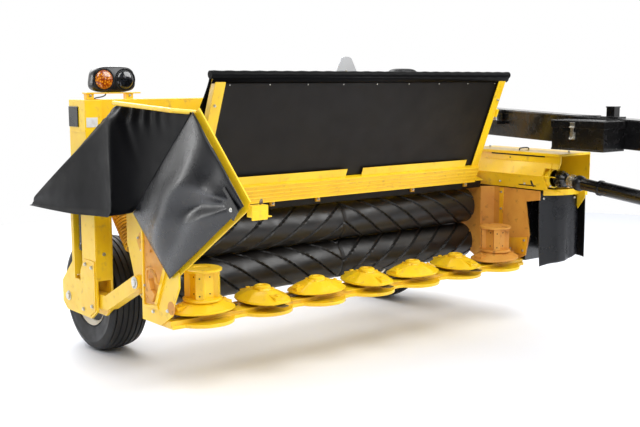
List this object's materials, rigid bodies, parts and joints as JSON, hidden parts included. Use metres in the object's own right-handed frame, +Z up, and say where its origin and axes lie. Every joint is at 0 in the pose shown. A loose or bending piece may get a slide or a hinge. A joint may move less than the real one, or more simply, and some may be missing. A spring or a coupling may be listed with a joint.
{
  "type": "disc mower conditioner",
  "caption": "Pull-type disc mower conditioner with a swinging tongue, a lifting header between two wheels, a folding front shield and a parking jack.",
  "frame": {"origin": "on the ground, at the middle of the bounding box seen from above, with the header raised and the jack down", "axes": "+X to the machine's left, +Y to the rear, +Z up; the machine is towed towards -Y"},
  "size_m": [3.3063, 4.865, 1.865],
  "materials": {
    "machine_yellow": "gloss",
    "chassis_black": "satin",
    "vinyl_black": "matte",
    "rubber": "matte",
    "tyre": "matte",
    "plain_steel": "satin",
    "rim_white": "satin",
    "sign_back": "satin"
  },
  "bodies": {
    "frame": {"frame_beam": "machine_yellow", "leg_left": "machine_yellow", "leg_right": "machine_yellow", "spindle_left": "plain_steel", "spindle_right": "plain_steel", "lift_cylinder_left": "chassis_black", "lift_cylinder_right": "chassis_black", "lamp_left": "chassis_black", "lamp_right": "chassis_black", "warning_sign": "sign_back", "float_spring_left": "machine_yellow", "float_spring_right": "machine_yellow", "tongue_bracket": "machine_yellow"},
    "wheel_left_body": {"rim_left": "rim_white", "tyre_left": "tyre"},
    "wheel_right_body": {"rim_right": "rim_white", "tyre_right": "tyre"},
    "lift_links": {"lower_link_left": "machine_yellow", "lower_link_right": "machine_yellow"},
    "lift_rods": {"lift_rod_left": "plain_steel", "lift_rod_right": "plain_steel"},
    "upper_link_body": {"upper_link": "machine_yellow"},
    "header": {"end_plate_left": "machine_yellow", "end_plate_right": "machine_yellow", "cutterbar": "machine_yellow", "header_beam": "machine_yellow", "hood": "machine_yellow", "rear_chute": "machine_yellow", "end_frame_right": "machine_yellow", "end_flap_right": "vinyl_black", "side_curtain_right": "vinyl_black", "drive_cover": "machine_yellow", "gearbox": "chassis_black", "corner_flap_left": "vinyl_black", "end_frame_left": "machine_yellow", "side_curtain_left": "vinyl_black"},
    "roll_upper_body": {"roll_upper": "rubber"},
    "roll_lower_body": {"roll_lower": "rubber"},
    "swathboard_body": {"swathboard": "machine_yellow"},
    "shield": {"shield_frame": "machine_yellow", "shield_panel": "vinyl_black", "front_curtain": "vinyl_black"},
    "tongue": {"tongue_beam": "chassis_black", "hitch_clevis": "chassis_black", "toolbox": "chassis_black", "jack_tube": "chassis_black", "front_bearing": "chassis_black"},
    "jack": {"jack_leg": "chassis_black"},
    "driveline_cross": {"driveline_joint": "chassis_black"},
    "driveline": {"driveline_collar": "plain_steel", "driveline_guard": "chassis_black"},
    "swing_cylinder": {"swing_barrel": "chassis_black"},
    "swing_rod": {"swing_rod_bar": "plain_steel"},
    "disc_1_body": {"disc_1": "machine_yellow"},
    "disc_2_body": {"disc_2": "machine_yellow"},
    "disc_3_body": {"disc_3": "machine_yellow"},
    "disc_4_body": {"disc_4": "machine_yellow"},
    "disc_5_body": {"disc_5": "machine_yellow"},
    "disc_6_body": {"disc_6": "machine_yellow"},
    "disc_7_body": {"disc_7": "machine_yellow"}
  },
  "joints": [
    {"name": "wheel_left_spin", "type": "hinge", "parent": "frame", "child": "wheel_left_body", "pos_m": [1.08185, 2.0375, 0.365], "axis": [1, 0, 0], "continuous": true},
    {"name": "wheel_right_spin", "type": "hinge", "parent": "frame", "child": "wheel_right_body", "pos_m": [-1.30815, 2.0375, 0.365], "axis": [1, 0, 0], "continuous": true},
    {"name": "header_lift", "type": "hinge", "parent": "frame", "child": "lift_links", "pos_m": [-0.11315, 2.0375, 0.375], "axis": [1, 0, 0], "range_deg": [0, 26.36]},
    {"name": "header_level", "type": "hinge", "parent": "lift_links", "child": "header", "pos_m": [-0.11315, 1.2155, 0.588], "axis": [1, 0, 0], "range_deg": [-26.62, 0.26]},
    {"name": "upper_link_turn", "type": "hinge", "parent": "frame", "child": "upper_link_body", "pos_m": [-0.11315, 1.9975, 1.11], "axis": [1, 0, 0], "range_deg": [-0.26, 26.62]},
    {"name": "lift_rod_slide", "type": "slide", "parent": "frame", "child": "lift_rods", "axis": [0, 0, 1], "range_m": [-0.0691, 0.0007]},
    {"name": "shield_open", "type": "hinge", "parent": "header", "child": "shield", "pos_m": [-0.11315, 1.0925, 1.02], "axis": [-1, 0, 0], "range_deg": [-64.5, 0]},
    {"name": "disc_1_spin", "type": "hinge", "parent": "header", "child": "disc_1_body", "pos_m": [-1.31315, 0.8875, 0.468], "axis": [0, 0, 1], "continuous": true},
    {"name": "disc_2_spin", "type": "hinge", "parent": "header", "child": "disc_2_body", "pos_m": [-0.91315, 0.8875, 0.468], "axis": [0, 0, 1], "continuous": true},
    {"name": "disc_3_spin", "type": "hinge", "parent": "header", "child": "disc_3_body", "pos_m": [-0.51315, 0.8875, 0.468], "axis": [0, 0, 1], "continuous": true},
    {"name": "disc_4_spin", "type": "hinge", "parent": "header", "child": "disc_4_body", "pos_m": [-0.11315, 0.8875, 0.468], "axis": [0, 0, 1], "continuous": true},
    {"name": "disc_5_spin", "type": "hinge", "parent": "header", "child": "disc_5_body", "pos_m": [0.28685, 0.8875, 0.468], "axis": [0, 0, 1], "continuous": true},
    {"name": "disc_6_spin", "type": "hinge", "parent": "header", "child": "disc_6_body", "pos_m": [0.68685, 0.8875, 0.468], "axis": [0, 0, 1], "continuous": true},
    {"name": "disc_7_spin", "type": "hinge", "parent": "header", "child": "disc_7_body", "pos_m": [1.08685, 0.8875, 0.468], "axis": [0, 0, 1], "continuous": true},
    {"name": "roll_upper_spin", "type": "hinge", "parent": "header", "child": "roll_upper_body", "pos_m": [-0.11315, 1.2525, 0.802], "axis": [1, 0, 0], "continuous": true},
    {"name": "roll_lower_spin", "type": "hinge", "parent": "header", "child": "roll_lower_body", "pos_m": [-0.11315, 1.2675, 0.545], "axis": [1, 0, 0], "continuous": true},
    {"name": "swathboard_tilt", "type": "hinge", "parent": "header", "child": "swathboard_body", "pos_m": [-0.11315, 1.6975, 0.9], "axis": [1, 0, 0], "range_deg": [-15, 28]},
    {"name": "tongue_swing", "type": "hinge", "parent": "frame", "child": "tongue", "pos_m": [1.42685, 1.5375, 1.41], "axis": [0, 0, 1], "range_deg": [-15, 10]},
    {"name": "swing_cylinder_turn", "type": "hinge", "parent": "frame", "child": "swing_cylinder", "pos_m": [0.68685, 1.6975, 1.435], "axis": [0, 0, 1], "range_deg": [-3.78, 2.54]},
    {"name": "swing_rod_slide", "type": "slide", "parent": "swing_cylinder", "child": "swing_rod", "axis": [0.7117, -0.7025, 0], "range_m": [-0.1105, 0.0743]},
    {"name": "driveline_yaw", "type": "hinge", "parent": "header", "child": "driveline_cross", "pos_m": [1.34685, 0.5275, 1.03], "axis": [0, 0, 1], "range_deg": [-22.2, 14.92]},
    {"name": "driveline_pitch", "type": "hinge", "parent": "driveline_cross", "child": "driveline", "pos_m": [1.34685, 0.5275, 1.03], "axis": [-0.999, 0.0456, 0], "range_deg": [-0.1, 10.19]},
    {"name": "jack_leg_slide", "type": "slide", "parent": "tongue", "child": "jack", "axis": [0, 0, -1], "range_m": [-0.35, 0]}
  ],
  "couplings": [
    {"joint": "header_level", "follows": "header_lift", "ratio": -1},
    {"joint": "upper_link_turn", "follows": "header_lift", "ratio": 1},
    {"joint": "lift_rod_slide", "follows": "header_lift", "m_per_rad": -0.14872},
    {"joint": "driveline_pitch", "follows": "header_lift", "ratio": 0.38266},
    {"joint": "swing_cylinder_turn", "follows": "tongue_swing", "ratio": 0.24786},
    {"joint": "swing_rod_slide", "follows": "tongue_swing", "m_per_rad": 0.41514},
    {"joint": "driveline_yaw", "follows": "tongue_swing", "ratio": 1.4558},
    {"joint": "disc_2_spin", "follows": "disc_1_spin", "ratio": -1},
    {"joint": "disc_3_spin", "follows": "disc_1_spin", "ratio": 1},
    {"joint": "disc_4_spin", "follows": "disc_1_spin", "ratio": -1},
    {"joint": "disc_5_spin", "follows": "disc_1_spin", "ratio": 1},
    {"joint": "disc_6_spin", "follows": "disc_1_spin", "ratio": -1},
    {"joint": "disc_7_spin", "follows": "disc_1_spin", "ratio": 1},
    {"joint": "roll_upper_spin", "follows": "disc_1_spin", "ratio": 0.27},
    {"joint": "roll_lower_spin", "follows": "disc_1_spin", "ratio": -0.27}
  ]
}
